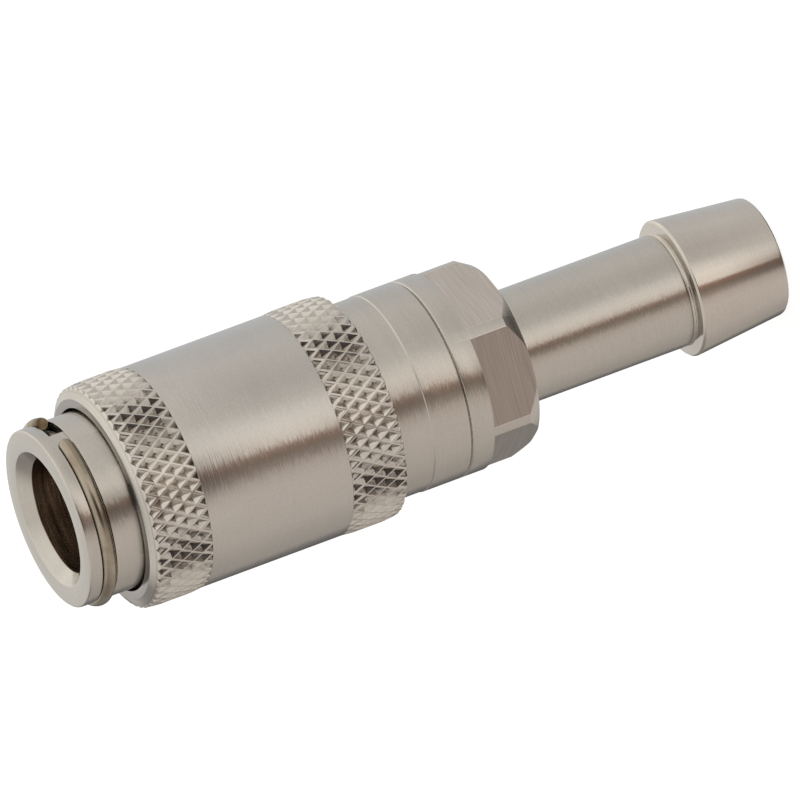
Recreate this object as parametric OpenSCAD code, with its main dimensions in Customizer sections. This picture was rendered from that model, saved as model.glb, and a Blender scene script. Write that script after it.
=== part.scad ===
// Single shut-off hose coupling with a barbed hose tail, in millimetres.
// It stands on the end of its hose tail, with the plug socket up along +Z.
// "back" values are distances from the mouth of the socket towards the hose tail.

/* [Plug socket] */
// Diameter of the bore that takes the plug
socket_d = 8.48; // [8:0.02:9]
// Radial width of the lead-in chamfer at the mouth
mouth_w = 0.74; // [0.4:0.02:1]
// Depth of the lead-in chamfer
mouth_chamfer = 0.91; // [0.4:0.01:1.4]
// Depth at which the plug bore steps down to the valve guide
socket_depth = 3.6; // [3:0.1:3.8]
// Height of that step
guide_step = 0.2; // [0.17:0.01:0.24]
// Length of the slim nose, from the mouth to its shoulder
nose_len = 20; // [19:0.1:21]
// Rounding of the nose's front edge
nose_round = 0.18; // [0.05:0.01:0.4]

/* [Stop ring] */
// Diameter of the spring wire
ring_wire_d = 1.05; // [0.9:0.01:1.2]
// Distance from the mouth to the middle of the wire
ring_back = 1.55; // [1.3:0.01:1.7]
// Height of the wire above the nose
ring_proud = 0.385; // [0.32:0.005:0.42]
// Clearance of the wire in its groove
ring_clear = 0.035; // [0.01:0.005:0.08]
// Angle at which the sheared end of the wire lies
ring_cut_end = -14; // [-25:1:0]
// Angle at which the rounded end of the wire lies
ring_round_end = -47; // [-60:1:-42]
// Length of the straight lifted tip at the sheared end
ring_tip = 1.4; // [0.6:0.1:2]
// Angle over which the groove is bridged, next to the rounded end
bridge_angle = 14; // [6:1:15]
// Depth of the bridge below the nose
bridge_drop = 0.12; // [0.05:0.01:0.3]

/* [Locking sleeve] */
// Diameter of the plain band
sleeve_d = 16.34; // [15.4:0.02:17.4]
// Height of the plain band above the slim nose
band_rise = 1.63; // [1.55:0.01:1.7]
// Wall of the sleeve over the balls
sleeve_wall = 1.03; // [0.95:0.01:1.08]
// Wall of the sleeve's skirt
skirt_wall = 0.86; // [0.8:0.01:0.9]
// Overall length of the sleeve
sleeve_len = 19.86; // [19:0.1:21]
// Travel of the sleeve from its held-back place to the stop ring
sleeve_travel = 2.2; // [1.8:0.05:2.4]
// Clearance left between the sleeve and the stop ring
stop_clear = 0.05; // [0.02:0.01:0.2]
// Radial gap between the sleeve's lip and the nose
sleeve_gap = 0.22; // [0.16:0.01:0.3]
// Radial gap between the sleeve's land and the nose
land_gap = 0.06; // [0.04:0.01:0.1]
// Radial gap between the sleeve's skirt and the body
skirt_gap = 0.08; // [0.04:0.01:0.1]
// Length of the land that holds the balls in
land_len = 2; // [1.5:0.1:3]
// Radial width of the bevel between the front face and the knurl
sleeve_bevel_w = 0.77; // [0.4:0.01:0.95]
// Length of that bevel
sleeve_bevel = 0.36; // [0.2:0.01:0.6]
// Rounding of the sleeve's rear edge
sleeve_round = 0.2; // [0.1:0.01:0.3]

/* [Knurl] */
// Number of grooves each way round the sleeve
knurl_starts = 56; // [40:4:72]
// Rows of diamonds along each band, counting half diamonds
knurl_rows = 5; // [3:1:6]
// Angle between the ridges and the sleeve's axis
knurl_angle = 29.9; // [28:0.1:35]
// Depth of the diamond pits
knurl_depth = 0.34; // [0.2:0.01:0.4]
// Height of the ridges above the plain band
knurl_proud = 0.09; // [0.02:0.01:0.15]

/* [Body] */
// Step from the body up to the shoulder behind the sleeve
shoulder_step = 0.06; // [0.02:0.01:0.2]
// Distance from the mouth to the shoulder
shoulder_back = 26.66; // [25:0.1:28]
// Distance from the mouth to the joint between body and hose tail
joint_back = 29.6; // [29:0.1:31]
// Bevel on both sides of the joint
joint_bevel = 0.14; // [0.05:0.01:0.3]
// Wall of the body round the valve chamber
chamber_wall = 1.53; // [1.4:0.01:1.6]
// Wall of the body round the hose tail's spigot
spigot_socket_wall = 0.88; // [0.8:0.01:0.95]

/* [Hose tail] */
// Depth of the spanner flats, which leaves 13 across them
flats_depth = 0.79; // [0.5:0.01:0.95]
// Turn of the first spanner flat
flats_turn = 15.6; // [0:0.1:60]
// Length of the round collar in front of the flats
collar_len = 1.76; // [1:0.1:3]
// Length of the spanner flats
flats_len = 3.94; // [3:0.1:6]
// Length of the bevel at the rear of the flats
flats_bevel = 1.1; // [0.4:0.1:1.6]
// Radial width of that bevel
flats_bevel_w = 0.69; // [0.3:0.01:0.9]
// Diameter of the stem
stem_d = 8.3; // [7.6:0.1:8.8]
// Length of the stem
stem_len = 13.9; // [10:0.1:20]
// Fillet where the stem leaves the body
stem_fillet = 0.35; // [0.1:0.05:0.8]
// Largest diameter of the barb
barb_d = 10.08; // [9.4:0.02:11]
// Length of the barb
barb_len = 7.1; // [5:0.1:9]
// Diameter at the small end of the barb
barb_end_d = 8.68; // [8.2:0.02:9]
// Rounding of the barb's end
barb_round = 0.3; // [0.1:0.05:0.5]
// Diameter of the flow bore through the stem
flow_d = 6.2; // [5:0.1:6.6]
// Length of the spigot that screws into the body
spigot_len = 4.4; // [4:0.1:5]
// Wall of that spigot
spigot_wall = 0.8; // [0.7:0.01:0.9]
// Depth of the spring chamber behind the joint
tail_chamber_len = 3.8; // [3.2:0.1:4.4]

/* [Locking balls] */
// Number of balls round the nose
ball_count = 6; // [3:1:6]
// Distance from the mouth to the middle of the balls
ball_back = 8; // [7.8:0.05:8.4]
// Clearance of a ball to the sleeve and to the valve
ball_clear = 0.08; // [0.04:0.01:0.1]
// Clearance of a ball in its hole
ball_hole_clear = 0.05; // [0.02:0.01:0.1]

/* [Valve] */
// Distance from the end of the plug bore to the front of the valve at rest
valve_recess = 0.3; // [0.2:0.05:0.6]
// Distance by which the pushed-in valve clears the balls
valve_pass = 0.2; // [0.1:0.05:0.4]
// Radial clearance of the valve in its guide
valve_clear = 0.06; // [0.02:0.01:0.1]
// Wall of the valve round the bore that takes the tip of the plug
valve_wall = 1.08; // [1:0.02:1.2]
// Distance from the mouth to the valve seat
seat_back = 18.4; // [18:0.1:19]
// Radial clearance of the valve head in its chamber
head_clear = 0.5; // [0.4:0.05:0.6]
// Distance from the seat to the rear face of the valve head
head_len = 2.8; // [2.6:0.1:3.2]
// Number of cross holes in the valve
port_count = 4; // [2:1:6]
// Diameter of a cross hole
port_d = 1.6; // [1.2:0.1:1.7]

/* [Seals] */
// Thickness of the ring that seals round the valve
guide_seal_w = 1.5; // [1.3:0.05:1.6]
// Distance from the mouth to the middle of that ring
guide_seal_back = 15.4; // [15.1:0.05:15.5]
// Thickness of the ring that seals on the tip of the plug
plug_seal_w = 1; // [0.8:0.05:1.1]
// Thickness of the ring on the valve head
valve_seal_w = 1.1; // [0.9:0.05:1.2]
// Thickness of the flat seal between body and hose tail
body_seal_t = 0.6; // [0.4:0.05:0.8]
// Clearance that a seal keeps to what it seals on
seal_clear = 0.03; // [0.01:0.01:0.05]

/* [Springs] */
// Wire diameter of the sleeve's spring
sleeve_spring_wire = 0.55; // [0.4:0.01:0.56]
// Turns of the sleeve's spring
sleeve_spring_turns = 7; // [5:1:9]
// Wire diameter of the valve's spring
valve_spring_wire = 0.8; // [0.6:0.05:0.9]
// Turns of the valve's spring
valve_spring_turns = 7; // [5:1:8]

/* [Hidden] */
$fn = 96;

nickel = [0.69, 0.67, 0.63];
steel = [0.42, 0.36, 0.30];
rubber = [0.08, 0.08, 0.08];

overall_len = joint_back + collar_len + flats_len + stem_len + barb_len;
cut = 1;
edge_bevel = 0.12;
section_facets = 48;
coil_sides = 8;
coil_steps = 16;
coil_close = 1.03;

// Radii that follow the plain band, from the outside in
sleeve_r = sleeve_d / 2;
nose_r = sleeve_r - band_rise;
lip_r = nose_r + sleeve_gap;
land_r = nose_r + land_gap;
recess_r = sleeve_r - sleeve_wall;
skirt_r = sleeve_r - skirt_wall;
body_r = skirt_r - skirt_gap;
shoulder_r = body_r + shoulder_step;
chamber_r = body_r - chamber_wall;
spigot_clear = 0.05;
spigot_r = body_r - spigot_socket_wall - spigot_clear;
tail_chamber_r = spigot_r - spigot_wall;

// Radii that follow the plug bore, from the bore in
socket_r = socket_d / 2;
guide_r = socket_r - guide_step;
valve_r = guide_r - valve_clear;
valve_bore_r = valve_r - valve_wall;

// Balls: held out by the valve at rest, pushed in by the sleeve's ramp
ball_hide = 0.02;
ball_r = (recess_r - ball_clear - guide_r - ball_hide) / 2;
ball_rest_r = guide_r + ball_hide + ball_r;
ball_travel = recess_r - land_r;
ball_step = 360 / ball_count;
ball_hole_r = ball_r + ball_hole_clear;
ball_neck_r = sqrt(pow(ball_r, 2) - pow(ball_rest_r - ball_travel - guide_r, 2));
ball_lip_r = ball_neck_r + 2 * ball_hole_clear;
ball_lip_len = 0.7;

// Ramp and taper run parallel to the balls' path, so that both keep ball_clear
valve_back = socket_depth + valve_recess;
valve_travel = ball_back + ball_r + valve_pass - valve_back;
ramp_slope = ball_travel / sleeve_travel;
taper_slope = ball_travel / valve_travel;
ramp_back = ball_back + (ball_r + ball_clear) * (1 / cos(atan(ramp_slope)) - 1) / ramp_slope;
taper_r = ball_rest_r - (ball_r + ball_clear) / cos(atan(taper_slope));
taper_front_r = taper_r - taper_slope * (ball_back - valve_back);
taper_end_back = valve_back + (valve_r - taper_front_r) / taper_slope;

// Stop ring and its groove
ring_r = ring_wire_d / 2;
ring_mid_r = nose_r + ring_proud - ring_r;
groove_w = ring_wire_d + 2 * ring_clear;
groove_r = ring_mid_r - ring_r - ring_clear;
ring_tip_angle = atan(ring_tip / ring_mid_r);

// Sleeve
stop_back = ring_back + sqrt(pow(ring_r, 2) - pow(lip_r - ring_mid_r, 2)) + stop_clear;
sleeve_back = stop_back + sleeve_travel;
sleeve_end_back = sleeve_back + sleeve_len;
recess_room = 0.48;
recess_back = ball_back - ball_r - recess_room;
land_back = ramp_back + sleeve_travel;
land_end_back = land_back + land_len;

// Knurl
knurl_r = sleeve_r + knurl_proud;
knurl_row = knurl_r * sin(180 / knurl_starts) / tan(knurl_angle);
knurl_len = knurl_rows * knurl_row;
knurl_front_back = sleeve_back + sleeve_bevel + sleeve_round;
knurl_rear_back = sleeve_end_back - sleeve_round - knurl_len;
knurl_root = 0.16;
knurl_hoop = 0.2;
knurl_seat_r = knurl_r - knurl_depth - knurl_root;
knurl_core_r = knurl_seat_r - knurl_hoop;
knurl_sink = 0.12;
knurl_lap = 0.03;

// Body and hose tail
seat_angle = 45;
seat_end_back = seat_back + (chamber_r - guide_r) / tan(seat_angle);
seal_shoulder_back = joint_back - spigot_len - body_seal_t;
flats_back = joint_back + collar_len;
flats_end_back = flats_back + flats_len;
flats_r = shoulder_r - flats_depth;
flats_count = 6;
stem_r = stem_d / 2;
barb_back = flats_end_back + stem_len;
barb_bevel = 0.1;
barb_shoulder = 0.3;
barb_lean = atan((barb_d - barb_end_d) / 2 / barb_len);
spring_seat_back = joint_back + tail_chamber_len;
flow_r = flow_d / 2;
flow_bevel = 0.2;

// Valve and seals
groove_room = 0.2;
guide_groove_w = guide_seal_w + groove_room;
guide_seal_r = guide_seal_w / 2;
guide_seal_mid_r = valve_r + seal_clear + guide_seal_r;
guide_groove_r = guide_seal_mid_r + guide_seal_r + seal_clear;
guide_groove_back = guide_seal_back - guide_groove_w / 2;
port_back = (guide_groove_back + guide_groove_w + seat_back) / 2;
valve_bore_back = port_back + port_d / 2;
head_gap = 0.15;
head_front_back = seat_back + head_gap / sin(seat_angle) - (guide_r - valve_r) / tan(seat_angle);
head_r = chamber_r - head_clear;
head_back = seat_back + head_len;
head_edge = 0.2;
boss_len = 1.2;
boss_gap = 0.35;
boss_r = head_r - valve_spring_wire - boss_gap;
valve_seal_r = valve_seal_w / 2;
valve_seal_lean = (seal_clear + valve_seal_r) * sin(seat_angle);
valve_seal_rise = 0.7;
valve_seal_mid_r = guide_r + valve_seal_rise - valve_seal_lean;
valve_seal_back = seat_back + valve_seal_rise + valve_seal_lean;
plug_seal_r = plug_seal_w / 2;
plug_seal_bite = 0.25;
plug_seal_behind = 2;
plug_seal_mid_r = valve_bore_r - plug_seal_bite + plug_seal_r;
plug_seal_back = taper_end_back + plug_seal_behind;
plug_groove_r = plug_seal_mid_r + plug_seal_r + seal_clear / 2;
plug_groove_w = plug_seal_w + groove_room / 2;

// Springs: the steps of a coil cut inside its circle, so the sleeve's spring lies out from the nose
sleeve_spring_mid_r = (nose_r / cos(180 / coil_steps) + skirt_r) / 2;
valve_spring_mid_r = (boss_r + head_r) / 2;

// A profile point: its distance from the mouth and its radius
function at(back, r) = [r, overall_len - back];

// Profile points along an arc, with angles measured from the rearward direction
function arc(back, r, radius, from, to, steps = 5) = [
    for (i = [0 : steps])
        let (a = from + (to - from) * i / steps)
        at(back + radius * cos(a), r + radius * sin(a))
];

module turned(profile) {
    rotate_extrude() polygon(profile);
}

module ring_of(back, mid_r, section_r) {
    translate([0, 0, overall_len - back])
        rotate_extrude() translate([mid_r, 0]) circle(section_r, $fn = section_facets);
}

// A band that runs from one distance behind the mouth to another
module band(from_back, to_back, inner_r, outer_r) {
    turned([
        at(from_back, inner_r), at(from_back, outer_r),
        at(to_back, outer_r), at(to_back, inner_r)
    ]);
}

// A wedge that starts at an angle, opens anticlockwise and covers one stretch of the length
module wedge(start, opening, from_back, to_back, reach) {
    translate([0, 0, overall_len - to_back])
        rotate([0, 0, start])
            rotate_extrude(angle = opening)
                square([reach, to_back - from_back]);
}

// Skin of a tube of loops: each loop is a closed list of points, the next one lies beside it
function loop_faces(loops, count, closed) = [
    for (i = [0 : closed ? loops - 1 : loops - 2])
        for (j = [0 : count - 1])
            let (
                k = (i + 1) % loops,
                m = (j + 1) % count,
                a = i * count + j,
                b = i * count + m,
                c = k * count + m,
                d = k * count + j
            )
            each (i + j) % 2 == 0 ? [[a, b, c], [a, c, d]] : [[a, b, d], [b, c, d]]
];

// Height of a coil's middle after a number of turns, with one close turn at each end
function coil_rise(turn, turns, wire, len) =
    let (
        close = wire * coil_close,
        open = (len - wire - 2 * close) / (turns - 2)
    )
    turn < 1 ? turn * close
        : turn > turns - 1 ? len - wire - (turns - turn) * close
        : close + (turn - 1) * open;

// A compression spring that stands on z = 0
module coil(mid_r, wire, turns, len) {
    loops = turns * coil_steps + 1;
    section_r = wire / 2 / cos(180 / coil_sides);
    points = [
        for (i = [0 : loops - 1])
            for (j = [0 : coil_sides - 1])
                let (
                    turn = i / coil_steps,
                    a = 360 * (j + 0.5) / coil_sides,
                    r = mid_r + section_r * cos(a),
                    z = wire / 2 + coil_rise(turn, turns, wire, len) + section_r * sin(a)
                )
                [r * cos(360 * turn), r * sin(360 * turn), z]
    ];
    last = (loops - 1) * coil_sides;
    caps = [
        [for (j = [coil_sides - 1 : -1 : 0]) j],
        [for (j = [0 : coil_sides - 1]) last + j]
    ];
    polyhedron(points, concat(loop_faces(loops, coil_sides, false), caps), convexity = 10);
}

// A ring of raised ridges that cross, with a sunk diamond between them
module knurl_band(from_back) {
    sides = 2 * knurl_starts;
    low = overall_len - from_back - knurl_len;
    grid = [
        for (i = [0 : knurl_rows])
            let (edge = i == 0 || i == knurl_rows)
            for (j = [0 : sides - 1])
                let (
                    ridge = edge ? sleeve_r - knurl_lap : knurl_r,
                    r = (i + j) % 2 == 0 ? ridge : knurl_r - knurl_depth,
                    a = -180 * j / knurl_starts
                )
                [r * cos(a), r * sin(a), low + i * knurl_row]
    ];
    function hoop(r, z) = [
        for (j = [0 : sides - 1])
            let (a = -180 * j / knurl_starts)
            [r * cos(a), r * sin(a), z]
    ];
    top = low + knurl_len + knurl_sink;
    bottom = low - knurl_sink;
    points = concat(
        grid, hoop(knurl_seat_r, top), hoop(knurl_core_r, top),
        hoop(knurl_core_r, bottom), hoop(knurl_seat_r, bottom)
    );
    polyhedron(points, loop_faces(knurl_rows + 5, sides, true), convexity = 10);
}

module nose_body() {
    color(nickel)
        difference() {
            turned(concat(
                [at(0, socket_r + mouth_w)],
                arc(nose_round, nose_r - nose_round, nose_round, 180, 90),
                [
                    at(nose_len, nose_r),
                    at(nose_len, body_r - edge_bevel),
                    at(nose_len + edge_bevel, body_r),
                    at(shoulder_back, body_r),
                    at(shoulder_back + shoulder_step, shoulder_r),
                    at(joint_back - joint_bevel, shoulder_r),
                    at(joint_back, shoulder_r - joint_bevel),
                    at(joint_back, spigot_r + spigot_clear),
                    at(seal_shoulder_back, spigot_r + spigot_clear),
                    at(seal_shoulder_back, chamber_r),
                    at(seat_end_back, chamber_r),
                    at(seat_back, guide_r),
                    at(guide_groove_back + guide_groove_w, guide_r),
                    at(guide_groove_back + guide_groove_w, guide_groove_r),
                    at(guide_groove_back, guide_groove_r),
                    at(guide_groove_back, guide_r),
                    at(socket_depth, guide_r),
                    at(socket_depth, socket_r),
                    at(mouth_chamfer, socket_r)
                ]
            ));
            ring_groove();
            for (i = [0 : ball_count - 1])
                rotate([0, 0, i * ball_step]) ball_hole();
        }
}

// The groove of the stop ring, with its bridge left standing
module ring_groove() {
    front = ring_back - groove_w / 2;
    rear = ring_back + groove_w / 2;
    difference() {
        band(front, rear, groove_r, nose_r + cut);
        wedge(ring_round_end, bridge_angle, front - cut, rear + cut, nose_r + 2 * cut);
    }
    band(front, rear, nose_r - bridge_drop, nose_r + cut);
}

// A radial hole that narrows at its inner end, so that the ball can't fall into the socket
module ball_hole() {
    translate([0, 0, overall_len - ball_back])
        rotate([0, 90, 0]) {
            translate([0, 0, guide_r - cut]) cylinder(h = cut, r = ball_lip_r);
            translate([0, 0, guide_r]) cylinder(h = ball_lip_len, r1 = ball_lip_r, r2 = ball_hole_r);
            translate([0, 0, guide_r + ball_lip_len])
                cylinder(h = nose_r - guide_r - ball_lip_len + cut, r = ball_hole_r);
        }
}

// Open ring of round wire, with one rounded end and one sheared, slightly lifted tip
module stop_ring() {
    arc_start = ring_cut_end + ring_tip_angle;
    arc_span = 360 + ring_round_end - arc_start;
    color(steel)
        translate([0, 0, overall_len - ring_back]) {
            rotate([0, 0, arc_start])
                rotate_extrude(angle = arc_span)
                    translate([ring_mid_r, 0]) circle(ring_r, $fn = section_facets);
            rotate([0, 0, ring_round_end])
                translate([ring_mid_r, 0, 0]) sphere(ring_r, $fn = section_facets);
            rotate([0, 0, arc_start])
                translate([ring_mid_r, 0, 0])
                    rotate([90, 0, 0]) cylinder(h = ring_tip, r = ring_r, $fn = section_facets);
        }
}

module locking_sleeve() {
    color(nickel) {
        turned(concat(
            [
                at(sleeve_back, lip_r),
                at(sleeve_back, sleeve_r - sleeve_bevel_w),
                at(sleeve_back + sleeve_bevel, sleeve_r),
                at(knurl_front_back + knurl_lap, sleeve_r),
                at(knurl_front_back + knurl_lap, knurl_seat_r),
                at(knurl_front_back + knurl_len - knurl_lap, knurl_seat_r),
                at(knurl_front_back + knurl_len - knurl_lap, sleeve_r),
                at(knurl_rear_back + knurl_lap, sleeve_r),
                at(knurl_rear_back + knurl_lap, knurl_seat_r),
                at(knurl_rear_back + knurl_len - knurl_lap, knurl_seat_r),
                at(knurl_rear_back + knurl_len - knurl_lap, sleeve_r)
            ],
            arc(sleeve_end_back - sleeve_round, sleeve_r - sleeve_round, sleeve_round, 90, 0),
            [
                at(sleeve_end_back, skirt_r + edge_bevel),
                at(sleeve_end_back - edge_bevel, skirt_r),
                at(land_end_back, skirt_r),
                at(land_end_back, land_r),
                at(land_back, land_r),
                at(ramp_back, recess_r),
                at(recess_back, recess_r),
                at(recess_back - (recess_r - lip_r), lip_r)
            ]
        ));
        knurl_band(knurl_front_back);
        knurl_band(knurl_rear_back);
    }
}

// Spring that pushes the sleeve towards the stop ring
module sleeve_spring() {
    color(steel)
        translate([0, 0, overall_len - nose_len])
            coil(
                sleeve_spring_mid_r, sleeve_spring_wire,
                sleeve_spring_turns, nose_len - land_end_back
            );
}

module hose_tail() {
    color(nickel)
        difference() {
            turned(concat(
                [
                    at(joint_back - spigot_len, tail_chamber_r),
                    at(joint_back - spigot_len, spigot_r),
                    at(joint_back, spigot_r),
                    at(joint_back, shoulder_r - joint_bevel),
                    at(joint_back + joint_bevel, shoulder_r),
                    at(flats_end_back - flats_bevel, shoulder_r),
                    at(flats_end_back, shoulder_r - flats_bevel_w)
                ],
                arc(
                    flats_end_back + stem_fillet, stem_r + stem_fillet,
                    stem_fillet, 180, 270
                ),
                [
                    at(barb_back - barb_shoulder, stem_r),
                    at(barb_back, barb_d / 2 - barb_bevel),
                    at(barb_back + barb_bevel, barb_d / 2)
                ],
                arc(
                    overall_len - barb_round, barb_end_d / 2 - barb_round,
                    barb_round, 90 - barb_lean, 0
                ),
                [
                    at(overall_len, flow_r + flow_bevel),
                    at(overall_len - flow_bevel, flow_r),
                    at(spring_seat_back, flow_r),
                    at(spring_seat_back, tail_chamber_r)
                ]
            ));
            for (i = [0 : flats_count - 1])
                rotate([0, 0, flats_turn + 360 * i / flats_count]) spanner_cut();
        }
}

// What one spanner flat takes off the round body
module spanner_cut() {
    translate([flats_r, -shoulder_r, overall_len - flats_end_back - cut])
        cube([shoulder_r, 2 * shoulder_r, flats_len + cut]);
}

// Flat seal that the hose tail's spigot presses on the body's inner shoulder
module body_seal() {
    color(rubber)
        band(seal_shoulder_back, joint_back - spigot_len, tail_chamber_r, spigot_r);
}

module guide_seal() {
    color(rubber) ring_of(guide_seal_back, guide_seal_mid_r, guide_seal_r);
}

// Hollow valve: tapered nose that holds the balls out, cross holes and a closed head
module valve_body() {
    color(nickel)
        difference() {
            turned([
                at(valve_back, valve_bore_r),
                at(valve_back, taper_front_r),
                at(taper_end_back, valve_r),
                at(head_front_back, valve_r),
                at(head_front_back + head_r - valve_r, head_r),
                at(head_back - head_edge, head_r),
                at(head_back, head_r - head_edge),
                at(head_back, boss_r),
                at(head_back + boss_len - head_edge, boss_r),
                at(head_back + boss_len, boss_r - head_edge),
                at(head_back + boss_len, 0),
                at(valve_bore_back, 0),
                at(valve_bore_back, valve_bore_r)
            ]);
            band(
                plug_seal_back - plug_groove_w / 2, plug_seal_back + plug_groove_w / 2,
                0, plug_groove_r
            );
            ring_of(valve_seal_back, valve_seal_mid_r, valve_seal_r + seal_clear / 2);
            for (i = [0 : port_count - 1])
                rotate([0, 0, 360 * (i + 0.5) / port_count])
                    translate([0, 0, overall_len - port_back])
                        rotate([0, 90, 0]) cylinder(h = valve_r + cut, d = port_d);
        }
}

module plug_seal() {
    color(rubber) ring_of(plug_seal_back, plug_seal_mid_r, plug_seal_r);
}

module valve_seal() {
    color(rubber) ring_of(valve_seal_back, valve_seal_mid_r, valve_seal_r);
}

// Spring that pushes the valve on to its seat
module valve_spring() {
    color(steel)
        translate([0, 0, overall_len - spring_seat_back])
            coil(
                valve_spring_mid_r, valve_spring_wire,
                valve_spring_turns, spring_seat_back - head_back
            );
}

module ball(index) {
    if (index <= ball_count)
        color(steel)
            rotate([0, 0, (index - 1) * ball_step])
                translate([ball_rest_r, 0, overall_len - ball_back]) sphere(ball_r);
}

nose_body();
stop_ring();
locking_sleeve();
sleeve_spring();
hose_tail();
body_seal();
guide_seal();
valve_body();
plug_seal();
valve_seal();
valve_spring();
ball(1);  // ball_1
ball(2);  // ball_2
ball(3);  // ball_3
ball(4);  // ball_4
ball(5);  // ball_5
ball(6);  // ball_6
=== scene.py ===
"""Looks of the hose tail coupling: nickel-plated pieces, knurled sleeve, stop wire, springs and seals."""

import math
from contextlib import contextmanager

import bmesh
import bpy
from mathutils import Matrix, Vector


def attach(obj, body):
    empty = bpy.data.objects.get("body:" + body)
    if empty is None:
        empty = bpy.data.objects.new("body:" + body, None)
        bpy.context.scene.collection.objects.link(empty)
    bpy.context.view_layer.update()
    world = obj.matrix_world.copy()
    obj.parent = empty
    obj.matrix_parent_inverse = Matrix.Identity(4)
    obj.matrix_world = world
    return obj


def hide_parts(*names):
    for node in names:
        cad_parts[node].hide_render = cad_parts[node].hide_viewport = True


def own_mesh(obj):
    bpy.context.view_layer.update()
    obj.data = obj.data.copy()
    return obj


# Sizes are in millimetres, unless a line says otherwise. A name that ends in R is a radius. One that ends
# in FRONT, REAR, BACK, FLOOR, EDGE or SEAT is a place along the axis, measured back from the mouth.
MM = 0.001           # metres in a millimetre
LENGTH = 56.3
TURNS = 240          # columns round a turned piece
ROUND = 3            # steps in a rounded edge

# Corners nearer than this become one, in metres
MERGE_WIRE = 1e-7
MERGE_TURNED = 2e-7
MERGE_CUT = 4e-7
MERGE_KNURL = 1e-6

# Nose and body
NOSE_R = 6.54
MOUTH_R = 4.98       # the socket's chamfer at the front face
CHAMFER_REAR = 0.91
SOCKET_R = 4.24
SOCKET_REAR = 3.6
GUIDE_R = 4.04
SEAL_GROOVE_R = 5.54
SEAL_GROOVE_FRONT = 14.55
SEAL_GROOVE_REAR = 16.25
VALVE_SEAT_FRONT = 18.4
VALVE_SEAT_REAR = 20.06
VALVE_ROOM_R = 5.7
SPIGOT_HOLE_R = 6.35
SPIGOT_HOLE_FRONT = 24.6
BODY_FRONT = 20
BODY_EDGE = 20.12
BODY_R = 7.23
STEP_FRONT = 26.61
STEP_REAR = 26.69
SHOULDER_R = 7.29
BALLS = 6
BALL_BACK = 8.0
BALL_HOLE_R = 1.55
BALL_SEAT_R = 1.197  # the hole is narrower at the bore, so that the ball stays in it
BALL_SEAT_DEEP = 0.7
BALL_CUT_FROM = 3.0  # the holes' cutters run from inside the bore to outside the nose
BALL_CUT_TO = 7.2
BALL_HOLE_SIDES = 48

# Fine groove where the body meets the hose tail
JOINT_R = 7.11
JOINT_FRONT = 29.51
JOINT_FLOOR = 29.56
JOINT_BACK = 29.6
JOINT_REAR = 29.73

# Stop ring, its groove and the bridge that stands across the groove. Turns are in degrees.
GROOVE_R = 5.84
GROOVE_FRONT = 0.99
GROOVE_REAR = 2.11
BRIDGE_R = 6.42
BRIDGE_START = -47
BRIDGE_END = -33
BRIDGE_PAST = 0.09   # the bridge takes in the corners this far past the groove's walls
BRIDGE_FROM_R = 5.0  # and leaves those of the socket, inside this radius
# Columns just outside and just inside the bridge's ends, which make them steep
BRIDGE_COLUMNS = (BRIDGE_START - 0.08, BRIDGE_START + 0.01, BRIDGE_END - 0.01, BRIDGE_END + 0.08)
RING_MID_R = 6.40
RING_R = 0.525
RING_BACK = 1.55
RING_TIP_TURN = -14
RING_TIP_LENGTH = 1.4
RING_TIP_SPAN = (-1.9, 0.3)   # the sheared look lies between these in y
RING_END_TURN = 313
RING_STEPS = 150
RING_SIDES = 28

# Locking sleeve, in the place where it is latched back
BAND_R = 8.17
LIP_R = 6.76
LIP_REAR = 5.64
RECESS_R = 7.14
RECESS_FRONT = 6.02
RECESS_REAR = 8.191
LAND_R = 6.60
LAND_FRONT = 10.391
SKIRT_R = 7.31
SKIRT_FRONT = 12.391
SKIRT_REAR = 23.922
SKIRT_EDGE_R = 7.43
SLEEVE_FRONT = 4.182
SLEEVE_REAR = 24.042
BEVEL_R = 7.40
BEVEL_BACK = 4.66
BEVEL_SLOPE = (BAND_R - BEVEL_R) / (BEVEL_BACK - SLEEVE_FRONT)

# Knurl. The first row of pits has its middles at KNURL_FRONT on one band and at KNURL_REAR on the other.
KNURL_STARTS = 53    # diamonds round the sleeve
KNURL_ROWS = 5       # half rows along a band
KNURL_ROW = 0.8054   # length of a half row
KNURL_R = 8.26       # over the ridges
KNURL_DEPTH = 0.38
KNURL_SEAT_R = 7.70  # floor that a band stands on
KNURL_SINK = 0.08    # how far a band's rim goes into that floor
KNURL_FRONT = 4.742
KNURL_REAR = 19.94
KNURL_LEN = KNURL_ROWS * KNURL_ROW
FRONT_KNURL_TURN = -3.43
REAR_KNURL_TURN = -1.77
BEVEL_RUN = 0.28     # how far the pits run out over the front bevel
REAR_RUN_IN = 0.14
REAR_RUN_OUT = SLEEVE_REAR - KNURL_REAR - KNURL_LEN
REAR_GAP = 0.002     # the shell ends this much before the knurl does
HALF_WIDE = math.pi * KNURL_R / KNURL_STARTS
# A pit's section: share of the way from its middle to its ridge, and the height there
PIT_STEPS = ((1.0, 0.0), (0.90, 0.0), (0.84, -0.02), (0.12, 0.035 - KNURL_DEPTH))
# The finer shares at which half diamonds and run-outs have their corners
EDGE_SPOTS = (1.0, 0.90, 0.84, 0.72, 0.60, 0.48, 0.36, 0.24, 0.12)

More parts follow.
